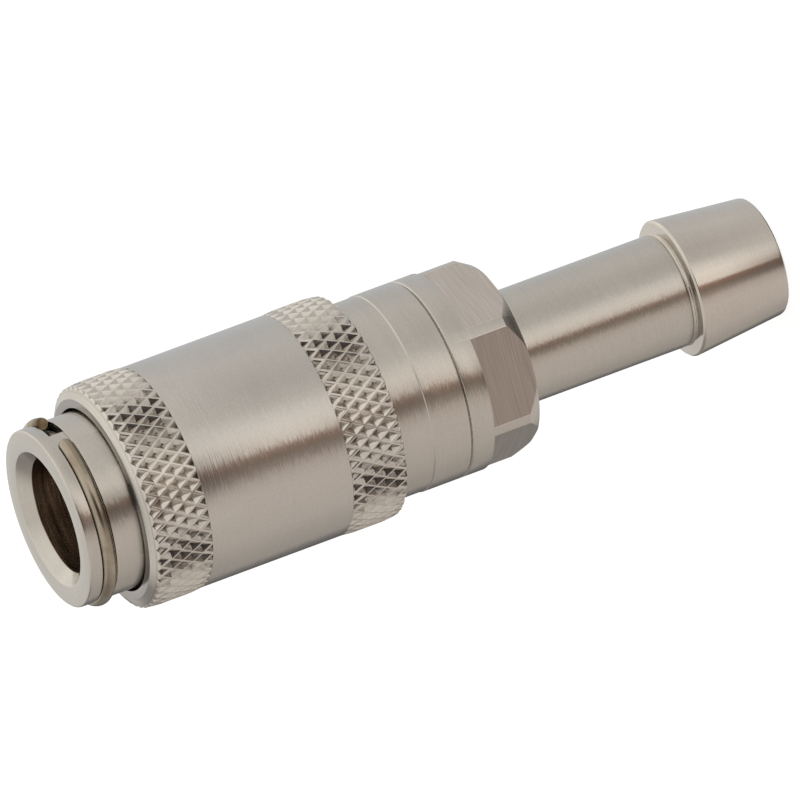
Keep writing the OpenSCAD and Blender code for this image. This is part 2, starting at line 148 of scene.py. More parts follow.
# Hose tail
SPIGOT_R = 6.3
SPIGOT_FRONT = 25.2
SPRING_CUP_R = 5.5
SPRING_SEAT = 33.4
SHOULDER_REAR = 34.2
STEM_FRONT = 35.3
TAIL_CONE_R = 6.6
FLATS_R = 6.5
FLATS_FRONT = 31.36
FLATS_CUT_REAR = 36.5
FLATS_CUT_DEEP = 3
FLATS_TURN = 15.6    # degrees
FLATS_EASE = 0.09
FLATS_EASE_FROM = 12  # degrees: the fine bevel is on edges at least this sharp
STEM_R = 4.15
RELIEF_FRONT = 48.72
RELIEF_REAR = 48.94
RELIEF_SIDE = 0.07
RELIEF_DEPTH = 0.06
BARB_FRONT = 49.06
BARB_FACE_R = 4.90
BARB_FACE_REAR = 49.14
BARB_R = 5.04
BARB_BACK = 49.30
BARB_END_R = 4.34
BORE_R = 3.1
BORE_EDGE = 56.1
BORE_EDGE_R = 3.3

# Springs: number of turns, then the wire, the radius to its middle and the length
VALVE_SPRING = (7, 0.8, 4.625, 12.2)
SLEEVE_SPRING = (7, 0.55, 6.98, 7.6)
SPRING_STEPS = 40.0  # steps in a turn
SPRING_SIDES = 16

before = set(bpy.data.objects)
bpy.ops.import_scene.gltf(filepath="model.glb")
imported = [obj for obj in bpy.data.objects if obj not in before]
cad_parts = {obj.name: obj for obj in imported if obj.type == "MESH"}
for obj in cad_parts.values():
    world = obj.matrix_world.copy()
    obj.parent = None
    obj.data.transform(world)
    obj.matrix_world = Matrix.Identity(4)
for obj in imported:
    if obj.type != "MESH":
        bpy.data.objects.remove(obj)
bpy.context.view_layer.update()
scene = bpy.context.scene


# Shapes

def link(data, name):
    thing = bpy.data.objects.new(name, data)
    scene.collection.objects.link(thing)
    return thing


def made(name, bm, closed=True):
    """Turns worked corners and faces into a piece. A closed one gets its faces turned outwards."""
    if closed:
        bmesh.ops.recalc_face_normals(bm, faces=bm.faces)
    mesh = bpy.data.meshes.new(name)
    bm.to_mesh(mesh)
    bm.free()
    return link(mesh, name)


@contextmanager
def opened(thing):
    """Opens a closed piece for changes to its mesh, and turns its faces outwards afterwards."""
    bm = bmesh.new()
    bm.from_mesh(thing.data)
    yield bm
    bmesh.ops.recalc_face_normals(bm, faces=bm.faces)
    bm.to_mesh(thing.data)
    bm.free()


def settle(thing):
    """Works a piece's modifiers into a plain mesh."""
    ready = bpy.context.evaluated_depsgraph_get()
    ready.update()
    mesh = bpy.data.meshes.new_from_object(thing.evaluated_get(ready))
    thing.modifiers.clear()
    thing.data = mesh


def soften(thing, angle=32):
    """Smooth shading that breaks at the sharper edges."""
    mesh = thing.data
    mesh.polygons.foreach_set("use_smooth", [True] * len(mesh.polygons))
    mesh.set_sharp_from_angle(angle=math.radians(angle))
    mesh.update()


def skin(bm, one, two, closed=True):
    """A strip of faces between two rows of corners. A closed one joins its ends."""
    count = len(one)
    for i in range(count if closed else count - 1):
        k = (i + 1) % count
        bm.faces.new((one[i], one[k], two[k], two[i]))


def rod(bm, rings):
    """A closed skin through rings of corners, with a face on each end."""
    for one, two in zip(rings, rings[1:]):
        skin(bm, one, two)
    bm.faces.new(rings[0])
    bm.faces.new(rings[-1])


def eased(corners):
    """Takes a section's corners as (back, radius, rounding), and makes each a short curve."""
    points = []
    count = len(corners)
    for i, (back, radius, ease) in enumerate(corners):
        here = Vector((back, radius))
        if ease <= 0:
            points.append((back, radius))
            continue
        before = Vector(corners[i - 1][:2]) - here
        after = Vector(corners[(i + 1) % count][:2]) - here
        start = here + before.normalized() * min(ease, before.length * 0.45)
        end = here + after.normalized() * min(ease, after.length * 0.45)
        for k in range(ROUND + 1):
            t = k / ROUND
            spot = start * (1 - t) ** 2 + here * 2 * t * (1 - t) + end * t * t
            points.append((spot.x, spot.y))
    return points


def turned(name, corners, extra_angles=(), lift=None):
    """A turned ring from its section. lift(back, radius, angle) may change a radius."""
    section = eased(corners)
    angles = sorted([360 * j / TURNS - 180 for j in range(TURNS)] + list(extra_angles))
    bm = bmesh.new()
    columns = []
    for a in angles:
        c, s = math.cos(math.radians(a)), math.sin(math.radians(a))
        column = []
        for back, radius in section:
            r = lift(back, radius, a) if lift else radius
            column.append(bm.verts.new((r * c * MM, r * s * MM, (LENGTH - back) * MM)))
        columns.append(column)
    for one, two in zip(columns, columns[1:] + columns[:1]):
        skin(bm, one, two)
    bmesh.ops.remove_doubles(bm, verts=bm.verts, dist=MERGE_TURNED)
    thing = made(name, bm)
    soften(thing)
    return thing


def cut(thing, cutter):
    """Takes the cutter's shape out of a piece, and leaves a plain closed mesh."""
    knife = thing.modifiers.new("cut", "BOOLEAN")
    knife.operation = "DIFFERENCE"
    knife.solver = "EXACT"
    knife.use_self = False
    knife.object = cutter
    settle(thing)
    with opened(thing) as bm:
        bmesh.ops.remove_doubles(bm, verts=bm.verts, dist=MERGE_CUT)
        bmesh.ops.dissolve_degenerate(bm, edges=bm.edges, dist=MERGE_TURNED)
        bmesh.ops.holes_fill(bm, edges=[e for e in bm.edges if e.is_boundary], sides=8)
    old = cutter.data
    bpy.data.objects.remove(cutter)
    bpy.data.meshes.remove(old)


# Node helpers

class Nodes:
    """Short calls for building one node tree. Each value is a plain one or another node's output."""

    def __init__(self, tree):
        self.tree = tree

    def add(self, kind, **settings):
        node = self.tree.nodes.new(kind)
        for key, value in settings.items():
            setattr(node, key, value)
        return node

    def feed(self, target, value):
        if hasattr(value, "links"):
            self.tree.links.new(value, target)
        else:
            target.default_value = value

    def fill(self, slots, **named):
        """Feeds inputs by their names, with _ for a space."""
        for name, value in named.items():
            self.feed(slots[name.replace("_", " ")], value)

    def node(self, kind, *values, setup=None, **named):
        """A new node's first output. values feed its inputs in their order, and named ones by name."""
        node = self.add(kind, **(setup or {}))
        for slot, value in zip(node.inputs, values):
            self.feed(slot, value)
        self.fill(node.inputs, **named)
        return node.outputs[0]

    def math(self, operation, *values, clamp=False):
        return self.node("ShaderNodeMath", *values, setup={"operation": operation, "use_clamp": clamp})

    def plus(self, one, two):
        return self.math("ADD", one, two)

    def minus(self, one, two):
        return self.math("SUBTRACT", one, two)

    def times(self, one, two):
        return self.math("MULTIPLY", one, two)

    def over(self, one, two):
        return self.math("DIVIDE", one, two)

    def vector(self, operation, *values, **named):
        return self.node("ShaderNodeVectorMath", *values, setup={"operation": operation}, **named)

    def scaled(self, vector, scale):
        return self.vector("SCALE", vector, Scale=scale)

    def split(self, vector):
        node = self.add("ShaderNodeSeparateXYZ")
        self.feed(node.inputs[0], vector)
        return node.outputs

    def build(self, x, y, z):
        return self.node("ShaderNodeCombineXYZ", x, y, z)

    def spread(self, value, source, target):
        """Maps one range onto another, and holds it at the ends."""
        return self.node("ShaderNodeMapRange", value, *source, *target)

    def ramp(self, value, stops):
        """Colours along a value: stops are (place, colour)."""
        node = self.add("ShaderNodeValToRGB")
        band = node.color_ramp
        while len(band.elements) < len(stops):
            band.elements.new(0.5)
        for element, (place, colour) in zip(band.elements, stops):
            element.position = place
            element.color = (*colour, 1)
        self.feed(node.inputs[0], value)
        return node.outputs[0]

    def blend(self, share, one, two):
        """A mix of two colours."""
        node = self.add("ShaderNodeMix", data_type="RGBA")
        self.feed(node.inputs["Factor"], share)
        # Inputs 6 and 7 and output 2 are the ones for colours
        for slot, value in ((node.inputs[6], one), (node.inputs[7], two)):
            self.feed(slot, value if hasattr(value, "links") else (*value, 1))
        return node.outputs[2]

    def noise(self, place, scale, detail=2):
        return self.node("ShaderNodeTexNoise", Vector=place, Scale=scale, Detail=detail)

    def streaks(self, vector, w, **named):
        """Noise in four dimensions, so that it can be drawn out along the first three."""
        setup = {"noise_dimensions": "4D"}
        return self.node("ShaderNodeTexNoise", setup=setup, Vector=vector, W=w, Scale=1.0, **named)

    def bump(self, height, strength, distance, **named):
        """A normal for raised and sunk detail, with its distance in metres."""
        return self.node("ShaderNodeBump", Height=height, Strength=strength, Distance=distance, **named)


# Finishes

NOISE = (0.3, 0.7)   # nearly all of a noise lies between these


def start_finish(name, metallic=1.0):
    """A new material: gives it with its node helper, its shader's inputs and the place on the piece."""
    material = bpy.data.materials.new(name)
    material.use_nodes = True
    n = Nodes(material.node_tree)
    look = material.node_tree.nodes["Principled BSDF"].inputs
    n.fill(look, Metallic=metallic)
    return material, n, look, n.add("ShaderNodeTexCoord").outputs["Object"]


def off_axis(n, place):
    """Distance from the axis, in metres."""
    x, y, z = n.split(place)
    return n.math("SQRT", n.plus(n.times(x, x), n.times(y, y)))


def turning(n, place):
    """Coordinates of turning marks, which run round the axis on cylinders, cones and faces alike."""
    x, y, z = n.split(place)
    radius = off_axis(n, place)
    safe = n.math("MAXIMUM", radius, 1e-5)
    return n.build(n.over(x, safe), n.over(y, safe), 0.0), n.plus(z, radius)


def marks(n, way, along, per_mm, spread, detail=2.0):
    """Noise drawn out round the axis. per_mm sets how close the marks lie, spread how often they break."""
    return n.streaks(n.scaled(way, spread), n.times(along, per_mm / MM), Detail=detail, Roughness=0.6)


def round_the_axis(n, place):
    """Tangent that points round the axis, for the drawn-out gloss of a turned surface."""
    x, y, z = n.split(place)
    setup = {"vector_type": "VECTOR", "convert_from": "OBJECT", "convert_to": "WORLD"}
    turn = n.node("ShaderNodeVectorTransform", n.build(n.times(y, -1.0), x, 0.0), setup=setup)
    return n.vector("NORMALIZE", turn)


def small_dents(n, place):
    """Scattered round dents, in about one cell of five, as depths under zero."""
    cells = n.add("ShaderNodeTexVoronoi")
    n.fill(cells.inputs, Vector=place, Scale=620)
    chosen = n.math("GREATER_THAN", n.split(cells.outputs["Color"])[0], 0.8)
    inside = n.spread(cells.outputs["Distance"], (0.04, 0.09), (1.0, 0.0))
    return n.times(n.times(inside, chosen), -1.2)


def turned_nickel(name, colour=(0.50, 0.475, 0.43), rough=0.22, line_depth=0.45, tone=0.03,
                  stretch=0.6, stray=0.15):
    """Nickel plate over turned brass. line_depth is the strength of the fine turning lines, tone how much
    they change the colour, stretch how far the gloss is drawn out, stray how much the lines fray it."""
    material, n, look, place = start_finish(name)
    way, along = turning(n, place)
    fine = marks(n, way, along, per_mm=7.0, spread=1.6)
    broad = marks(n, way, along, per_mm=1.6, spread=0.9, detail=3.0)
    hair = marks(n, way, along, per_mm=13.0, spread=9.0)
    cloud = n.noise(place, scale=260, detail=3)
    grain = n.noise(place, scale=8000)
    light = n.spread(n.plus(n.times(fine, 0.6), n.times(broad, 0.4)), (0.32, 0.68), (1 - tone, 1 + tone))
    light = n.times(light, n.spread(cloud, NOISE, (0.985, 1.015)))
    light = n.times(light, n.spread(grain, NOISE, (0.965, 1.035)))
    round_way = round_the_axis(n, place)
    lean = n.scaled(round_way, n.times(n.minus(hair, 0.5), stray))
    frayed = n.vector("ADD", n.add("ShaderNodeNewGeometry").outputs["Normal"], lean)
    frayed = n.vector("NORMALIZE", frayed)
    n.fill(
        look,
        Base_Color=n.scaled(colour, light),
        Roughness=n.spread(n.plus(broad, cloud), (0.7, 1.3), (rough - 0.03, rough + 0.05)),
        Normal=n.bump(n.plus(fine, small_dents(n, place)), line_depth, distance=4e-6, Normal=frayed),
        Anisotropic=stretch, Anisotropic_Rotation=0.25, Tangent=round_way,
    )
    return material


def edge_nickel(name, colour, rough, tone):
    """The same plate on a narrow edge, where the gloss is hardly drawn out."""
    return turned_nickel(name, colour, rough, line_depth=0.3, tone=tone, stretch=0.2, stray=0.05)


def knurled_nickel():
    """Pressed diamonds, bright on the ridges, with painted shade that darkens the colour down in the pits.
    """
    material, n, look, place = start_finish("knurled_nickel")
    grain = n.noise(place, scale=2600, detail=3)
    uneven = n.noise(place, scale=1300)
    deep = n.spread(off_axis(n, place), ((KNURL_R - KNURL_DEPTH) * MM, KNURL_R * MM), (0.0, 1.0))
    # Painted shade: the colour grows darker with depth, down into the pits
    pit_shade_to_ridges = n.ramp(deep, [
        (0.0, (0.42, 0.39, 0.345)), (0.45, (0.54, 0.51, 0.465)), (1.0, (0.56, 0.53, 0.485)),
    ])
    n.fill(
        look,
        Base_Color=n.scaled(pit_shade_to_ridges, n.spread(grain, NOISE, (0.94, 1.06))),
        Roughness=n.spread(deep, (0.0, 1.0), (0.16, 0.22)),
        Normal=n.bump(n.plus(n.times(grain, 0.6), n.times(uneven, 5.0)), 0.6, distance=1e-5),
    )
    return material


def milled_nickel():
    """Spanner flats, with straight cutter marks under the plating."""
    material, n, look, place = start_finish("milled_nickel")
    x, y, z = n.split(place)
    mark = n.streaks(n.build(n.times(x, 260.0), n.times(y, 260.0), 0.0), n.times(z, 9000.0), Detail=3)
    n.fill(
        look,
        Base_Color=n.scaled((0.52, 0.48, 0.435), n.spread(mark, NOISE, (0.88, 1.08))),
        Roughness=n.spread(mark, NOISE, (0.18, 0.26)),
        Normal=n.bump(mark, 0.5, distance=5e-6),
    )
    return material


def drawn_wire(name, colour, rough, brown):
    """Drawn spring wire with a brown tint that comes and goes."""
    material, n, look, place = start_finish(name)
    cloud = n.noise(place, scale=700, detail=4)
    n.fill(
        look,
        Base_Color=n.blend(n.spread(cloud, (0.35, 0.65), (0.0, 1.0)), colour, brown),
        Roughness=n.spread(cloud, NOISE, (rough - 0.05, rough + 0.08)),
        Normal=n.bump(cloud, 0.4, distance=6e-6),
    )
    return material


def polished_steel():
    material, n, look, place = start_finish("polished_steel")
    gloss = n.spread(n.noise(place, scale=1500), NOISE, (0.06, 0.14))
    n.fill(look, Base_Color=(0.56, 0.56, 0.57, 1), Roughness=gloss)
    return material


def black_rubber():
    material, n, look, place = start_finish("black_rubber", metallic=0.0)
    grain = n.noise(place, scale=3000)
    n.fill(
        look,
        Base_Color=n.blend(grain, (0.012, 0.012, 0.012), (0.024, 0.023, 0.022)),
        Roughness=n.spread(grain, NOISE, (0.5, 0.62)),
        Normal=n.bump(grain, 0.3, distance=1e-5),
    )
    return material


NICKEL = turned_nickel("turned_nickel")
SLEEVE_NICKEL = turned_nickel(
    "brushed_nickel", colour=(0.51, 0.49, 0.452), rough=0.20, line_depth=2.4, tone=0.012)
BARB_NICKEL = turned_nickel(
    "polished_nickel", colour=(0.54, 0.505, 0.455), rough=0.09, line_depth=0.2, tone=0.025,
    stretch=0.35, stray=0.05)
BORE_NICKEL = turned_nickel("bored_brass", colour=(0.31, 0.24, 0.18), rough=0.24, line_depth=1.2, tone=0.85)
FACE_NICKEL = turned_nickel("faced_nickel", rough=0.16, line_depth=0.25, tone=0.04, stretch=0.3, stray=0.05)
# Painted shade: a darker copy of the nickel for the sleeve's front lip, where the nose shades it
LIP_PAINTED_SHADE_NICKEL = edge_nickel("lip_nickel_painted_shade", (0.31, 0.285, 0.265), rough=0.14, tone=0.08)
# Bright colour for the edges between the flats: partly a bright burr, partly a painted highlight
BURR_AND_PAINTED_HIGHLIGHT = edge_nickel("bright_burr_and_painted_highlight", (0.84, 0.80, 0.74), rough=0.12, tone=0.12)
# Painted shade: a dark copy of the nickel for the flats' front edges
EDGE_PAINTED_SHADE = edge_nickel("painted_shade_edge", (0.20, 0.18, 0.16), rough=0.3, tone=0.2)
KNURL = knurled_nickel()
MILLED = milled_nickel()
WIRE = drawn_wire("browned_wire", (0.38, 0.335, 0.27), 0.22, brown=(0.29, 0.245, 0.185))
SHEARED = drawn_wire("sheared_wire", (0.32, 0.25, 0.15), 0.3, brown=(0.11, 0.08, 0.05))
SPRING = drawn_wire("spring_steel", (0.40, 0.39, 0.37), 0.28, brown=(0.32, 0.29, 0.25))
STEEL = polished_steel()
RUBBER = black_rubber()


def give(thing, *materials):
    thing.data.materials.clear()
    for material in materials:
        thing.data.materials.append(material)


def repaint(thing, material, chosen):
    """Gives another of the piece's materials to the faces that chosen(back, radius, face) picks."""
    index = thing.data.materials.find(material.name)
    for face in thing.data.polygons:
        c = face.center / MM
        if chosen(LENGTH - c.z, math.hypot(c.x, c.y), face):
            face.material_index = index


# Nose and body

def across_groove(back, radius, angle):
    """The bridge that stands across the stop ring's groove."""
    near = GROOVE_FRONT - BRIDGE_PAST < back < GROOVE_REAR + BRIDGE_PAST and radius > BRIDGE_FROM_R
    bridged = BRIDGE_START <= angle <= BRIDGE_END
    return max(radius, BRIDGE_R) if near and bridged else radius


def ball_holes_cutter():
    """Radial cutters for the ball holes, from inside the bore to outside the nose."""
    stages = (
        (BALL_CUT_FROM, BALL_SEAT_R), (GUIDE_R, BALL_SEAT_R),
        (GUIDE_R + BALL_SEAT_DEEP, BALL_HOLE_R), (BALL_CUT_TO, BALL_HOLE_R),
    )
    bm = bmesh.new()
    for k in range(BALLS):
        turn = Matrix.Rotation(math.radians(360 * k / BALLS), 4, "Z")
        rings = []
        for out, radius in stages:
            ring = []
            for j in range(BALL_HOLE_SIDES):
                a = 2 * math.pi * j / BALL_HOLE_SIDES
                p = Vector((out, radius * math.cos(a), LENGTH - BALL_BACK + radius * math.sin(a)))
                ring.append(bm.verts.new(turn @ (p * MM)))
            rings.append(ring)
        rod(bm, rings)
    return made("ball_holes", bm)


def in_the_nose_bore(back, radius, face):
    return radius < VALVE_ROOM_R + 0.05 and back > CHAMFER_REAR - 0.01


def on_the_front_face(back, radius, face):
    return radius < NOSE_R - 0.04 and back < CHAMFER_REAR - 0.01


def make_nose():
    """The front body with the plug socket, the ring groove and the ball holes."""
    nose = turned("nose", [
        (0, MOUTH_R, 0.05), (0, NOSE_R, 0.2),
        (GROOVE_FRONT, NOSE_R, 0.05), (GROOVE_FRONT, GROOVE_R, 0.03),
        (GROOVE_REAR, GROOVE_R, 0.03), (GROOVE_REAR, NOSE_R, 0.05),
        (BODY_FRONT, NOSE_R, 0.02), (BODY_FRONT, JOINT_R, 0.03), (BODY_EDGE, BODY_R, 0.05),
        (STEP_FRONT, BODY_R, 0.01), (STEP_REAR, SHOULDER_R, 0.01),
        (JOINT_FRONT, SHOULDER_R, 0.02), (JOINT_FLOOR, JOINT_R, 0.01), (JOINT_BACK, JOINT_R, 0.01),
        (JOINT_BACK, SPIGOT_HOLE_R, 0.02), (SPIGOT_HOLE_FRONT, SPIGOT_HOLE_R, 0.02),
        (SPIGOT_HOLE_FRONT, VALVE_ROOM_R, 0.02), (VALVE_SEAT_REAR, VALVE_ROOM_R, 0.02),
        (VALVE_SEAT_FRONT, GUIDE_R, 0.03),
        (SEAL_GROOVE_REAR, GUIDE_R, 0.02), (SEAL_GROOVE_REAR, SEAL_GROOVE_R, 0.05),
        (SEAL_GROOVE_FRONT, SEAL_GROOVE_R, 0.05), (SEAL_GROOVE_FRONT, GUIDE_R, 0.02),
        (SOCKET_REAR, GUIDE_R, 0.03), (SOCKET_REAR, SOCKET_R, 0.02), (CHAMFER_REAR, SOCKET_R, 0.06),
    ], extra_angles=BRIDGE_COLUMNS, lift=across_groove)
    cut(nose, ball_holes_cutter())
    soften(nose)
    give(nose, NICKEL, BORE_NICKEL, FACE_NICKEL)
    repaint(nose, BORE_NICKEL, in_the_nose_bore)
    repaint(nose, FACE_NICKEL, on_the_front_face)
    return nose


# Locking sleeve

def on_the_lip(back, radius, face):
    return back < SLEEVE_FRONT + 0.02 and radius < BEVEL_R + 0.02


def on_the_bevel(back, radius, face):
    return SLEEVE_FRONT + 0.02 < back < KNURL_FRONT and radius > BEVEL_R - 0.02


def make_sleeve_shell():
    """The sleeve without its two knurled bands, which stand in its seats."""
    bevel_end = KNURL_FRONT - BEVEL_RUN
    front_band_end = KNURL_FRONT + KNURL_LEN
    rear_band_start = KNURL_REAR - REAR_RUN_IN
    shell = turned("sleeve_shell", [
        (SLEEVE_FRONT, LIP_R, 0.05), (SLEEVE_FRONT, BEVEL_R, 0.03),
        (bevel_end, BAND_R - BEVEL_SLOPE * (BEVEL_RUN - KNURL_FRONT + BEVEL_BACK), 0),
        (bevel_end, KNURL_SEAT_R, 0), (front_band_end, KNURL_SEAT_R, 0),
        (front_band_end, BAND_R, 0.03), (rear_band_start, BAND_R, 0.03),
        (rear_band_start, KNURL_SEAT_R, 0), (SLEEVE_REAR - REAR_GAP, KNURL_SEAT_R, 0),
        (SLEEVE_REAR - REAR_GAP, SKIRT_EDGE_R, 0.04), (SKIRT_REAR, SKIRT_R, 0.03),
        (SKIRT_FRONT, SKIRT_R, 0.02), (SKIRT_FRONT, LAND_R, 0.03), (LAND_FRONT, LAND_R, 0.05),
        (RECESS_REAR, RECESS_R, 0.05), (RECESS_FRONT, RECESS_R, 0.05), (LIP_REAR, LIP_R, 0.03),
    ])
    give(shell, SLEEVE_NICKEL, LIP_PAINTED_SHADE_NICKEL, FACE_NICKEL)
    # The front lip gets the painted shade
    repaint(shell, LIP_PAINTED_SHADE_NICKEL, on_the_lip)
    repaint(shell, FACE_NICKEL, on_the_bevel)
    return shell


# Knurl

def pit_height(x, y):
    """Height under the ridges at a place in a diamond, from its middle."""
    far = abs(x) / HALF_WIDE + abs(y) / KNURL_ROW
    if far >= PIT_STEPS[1][0]:
        return 0.0
    steps = PIT_STEPS[1:] + ((0.0, -KNURL_DEPTH),)
    for (outer, high), (inner, low) in zip(steps, steps[1:]):
        if far >= inner:
            return low + (high - low) * (far - inner) / (outer - inner)


def pit_mesh(name, part):
    """One diamond pit with half of each ridge round it, flat in x (round the sleeve) and y (along it).
    part is 0 for a whole diamond, 1 for the half behind its middle and -1 for the half before it."""
    spots = EDGE_SPOTS if part else [s for s, h in PIT_STEPS]
    corners = {
        0: [(1, 0), (0, 1), (-1, 0), (0, -1)],
        1: [(1, 0), (0, 1), (-1, 0)],
        -1: [(-1, 0), (0, -1), (1, 0)],
    }[part]
    bm = bmesh.new()
    rings = []
    for s in spots:
        height = pit_height(s * HALF_WIDE, 0)
        rings.append([
            bm.verts.new((cx * s * HALF_WIDE * MM, cy * s * KNURL_ROW * MM, height * MM))
            for cx, cy in corners
        ])
    middle = bm.verts.new((0, 0, -KNURL_DEPTH * MM))
    for outer, inner in zip(rings, rings[1:]):
        skin(bm, outer, inner, closed=part == 0)
    last = rings[-1]
    for i in range(len(last) if part == 0 else len(last) - 1):
        bm.faces.new((last[i], last[(i + 1) % len(last)], middle))
    return made(name, bm, closed=False)


def run_out(name, way, spots):
    """The strip where a row of pits runs out past its middles, at a bevel or at the sleeve's end. way is
    -1 to the front and 1 to the rear, and spots are how far past the middles it has its corners."""
    across = [-s for s in EDGE_SPOTS] + [0.0] + list(reversed(EDGE_SPOTS))
    bm = bmesh.new()
    lines = []
    for reach in spots:
        line = []
        for s in across:
            x, y = s * HALF_WIDE, way * reach
            height = min(pit_height(x, y), pit_height(HALF_WIDE - abs(x), KNURL_ROW - reach))
            line.append(bm.verts.new((x * MM, y * MM, height * MM)))
        lines.append(line)
    for one, two in zip(lines, lines[1:]):
        skin(bm, one, two, closed=False)
    return made(name, bm, closed=False)


def start_tree(name, rows):
    """A geometry tree with named inputs, from rows of (key, label, kind). Gives its node helper and, by
    key, the inputs' identifiers for a modifier and their sockets in the tree."""
    tree = bpy.data.node_groups.new(name, "GeometryNodeTree")
    tree.interface.new_socket(name="Geometry", in_out="OUTPUT", socket_type="NodeSocketGeometry")
    ids = {}
    for key, label, kind in rows:
        row = tree.interface.new_socket(name=label, in_out="INPUT", socket_type="NodeSocket" + kind)
        ids[key] = row.identifier
    n = Nodes(tree)
    given = {slot.identifier: slot for slot in n.add("NodeGroupInput").outputs}
    return n, ids, {key: given[ident] for key, ident in ids.items()}


def end_tree(n, shape, metal):
    """Gives the shape its finish and hands it on."""
    coated = n.node("GeometryNodeSetMaterial", Geometry=shape, Material=metal)
    n.feed(n.add("NodeGroupOutput").inputs[0], coated)


def grown(name, tree, ids, values):
    """Runs a node tree and keeps its result as a plain mesh."""
    thing = link(bpy.data.meshes.new(name), name)
    grow = thing.modifiers.new("grow", "NODES")
    grow.node_group = tree
    for key, value in values.items():
        grow[ids[key]] = value
    settle(thing)
    return thing


def knurl_tree():
    """Geometry nodes that roll rows of diamond pits round the sleeve."""
    n, ids, pick = start_tree("knurl_rows", (
        ("starts", "Diamonds round the sleeve", "Int"),
        ("rows", "Half rows along the band", "Int"),
        ("row", "Length of a half row", "Float"),
        ("radius", "Radius over the ridges", "Float"),
        ("drop", "Drop at the band's edges", "Float"),
        ("front", "Height of the first row", "Float"),
        ("turn", "Turn", "Float"),
        ("bevel_in", "Bevel starts before the first row", "Float"),
        ("bevel_in_slope", "Slope of the front bevel", "Float"),
        ("bevel_out", "Bevel starts behind the last row", "Float"),
        ("bevel_out_slope", "Slope of the rear bevel", "Float"),
        ("whole", "Whole diamond", "Object"),
        ("behind", "Half behind the front edge", "Object"),
        ("before", "Half before the rear edge", "Object"),
        ("run_in", "Run-out at the front", "Object"),
        ("run_out", "Run-out at the rear", "Object"),
        ("metal", "Finish", "Material"),
    ))
    # A point for each diamond, still flat: x goes round the sleeve, y along it
    count = n.times(pick["starts"], n.plus(pick["rows"], 1.0))
    index = n.add("GeometryNodeInputIndex").outputs[0]
    row = n.math("FLOOR", n.over(n.plus(index, 0.5), pick["starts"]))
    place = n.minus(index, n.times(row, pick["starts"]))
    shift = n.times(n.math("MODULO", row, 2.0), 0.5)
    pitch = n.over(n.times(pick["radius"], 2 * math.pi), pick["starts"])
    laid = n.node(
        "GeometryNodeSetPosition",
        Geometry=n.node("GeometryNodePoints", Count=count),
        Position=n.build(n.times(n.plus(place, shift), pitch), n.times(row, pick["row"]), 0.0),
    )
    # Whole diamonds inside the band, halves and run-outs at its edges
    gather = n.add("GeometryNodeJoinGeometry")
    first = n.math("LESS_THAN", row, 0.5)
    last = n.math("GREATER_THAN", row, n.minus(pick["rows"], 0.5))
    inner = n.minus(n.minus(1.0, first), last)
    cells = ((inner, "whole"), (first, "behind"), (last, "before"), (first, "run_in"), (last, "run_out"))
    for chosen, cell in cells:
        info = n.add("GeometryNodeObjectInfo")
        n.feed(info.inputs["Object"], pick[cell])
        shape = info.outputs["Geometry"]
        stamp = n.node("GeometryNodeInstanceOnPoints", Points=laid, Selection=chosen, Instance=shape)
        n.feed(gather.inputs[0], stamp)
    # The radius that the ridges may reach: it drops at the band's edges and past each bevel's start
    x, y, h = n.split(n.add("GeometryNodeInputPosition").outputs[0])
    length = n.times(pick["rows"], pick["row"])
    inside = n.math("MINIMUM", y, n.minus(length, y))
    near = n.math("SUBTRACT", 1.0, n.over(inside, pick["row"]), clamp=True)
    brim = n.minus(pick["radius"], n.times(near, pick["drop"]))
    for past, bevel in ((n.times(y, -1.0), "bevel_in"), (n.minus(y, length), "bevel_out")):
        over = n.math("MAXIMUM", n.minus(past, pick[bevel]), 0.0)
        brim = n.minus(brim, n.times(over, pick[bevel + "_slope"]))
    reach = n.math("MINIMUM", n.plus(pick["radius"], h), brim)
    angle = n.plus(n.over(x, pick["radius"]), pick["turn"])
    rolled = n.build(
        n.times(reach, n.math("COSINE", angle)),
        n.times(reach, n.math("SINE", angle)),
        n.minus(pick["front"], y),
    )
    diamonds = n.node("GeometryNodeRealizeInstances", gather.outputs[0])
    wrapped = n.node("GeometryNodeSetPosition", Geometry=diamonds, Position=rolled)
    welded = n.node("GeometryNodeMergeByDistance", Geometry=wrapped, Distance=MERGE_KNURL)
    end_tree(n, welded, pick["metal"])
    return n.tree, ids


def knurl_band(name, first_row, turn, bevel_in=(0.0, 0.0), bevel_out=(0.0, 0.0), **cells):
    """A closed knurled band. A bevel is its start past the first or last row, and its slope."""
    band = grown(name, *KNURL_TREE, {
        "starts": KNURL_STARTS, "rows": KNURL_ROWS, "row": KNURL_ROW * MM, "radius": KNURL_R * MM,
        "drop": (KNURL_R - BAND_R) * MM, "front": (LENGTH - first_row) * MM, "turn": math.radians(turn),
        "bevel_in": bevel_in[0] * MM, "bevel_in_slope": bevel_in[1],
        "bevel_out": bevel_out[0] * MM, "bevel_out_slope": bevel_out[1],
        "metal": KNURL, **cells,
    })
    with opened(band) as bm:
        bmesh.ops.remove_doubles(bm, verts=bm.verts, dist=MERGE_KNURL)
        out = bmesh.ops.extrude_edge_only(bm, edges=[e for e in bm.edges if e.is_boundary])["geom"]
        for v in out:
            if isinstance(v, bmesh.types.BMVert):
                flat = Vector((v.co.x, v.co.y)).normalized() * (KNURL_SEAT_R - KNURL_SINK) * MM
                v.co = (flat.x, flat.y, v.co.z)
        rims = [e for e in out if isinstance(e, bmesh.types.BMEdge) and e.is_boundary]
        bmesh.ops.bridge_loops(bm, edges=rims)
        for face in bm.faces:
            face.material_index = 0
    give(band, KNURL)
    soften(band, 20)
    return band


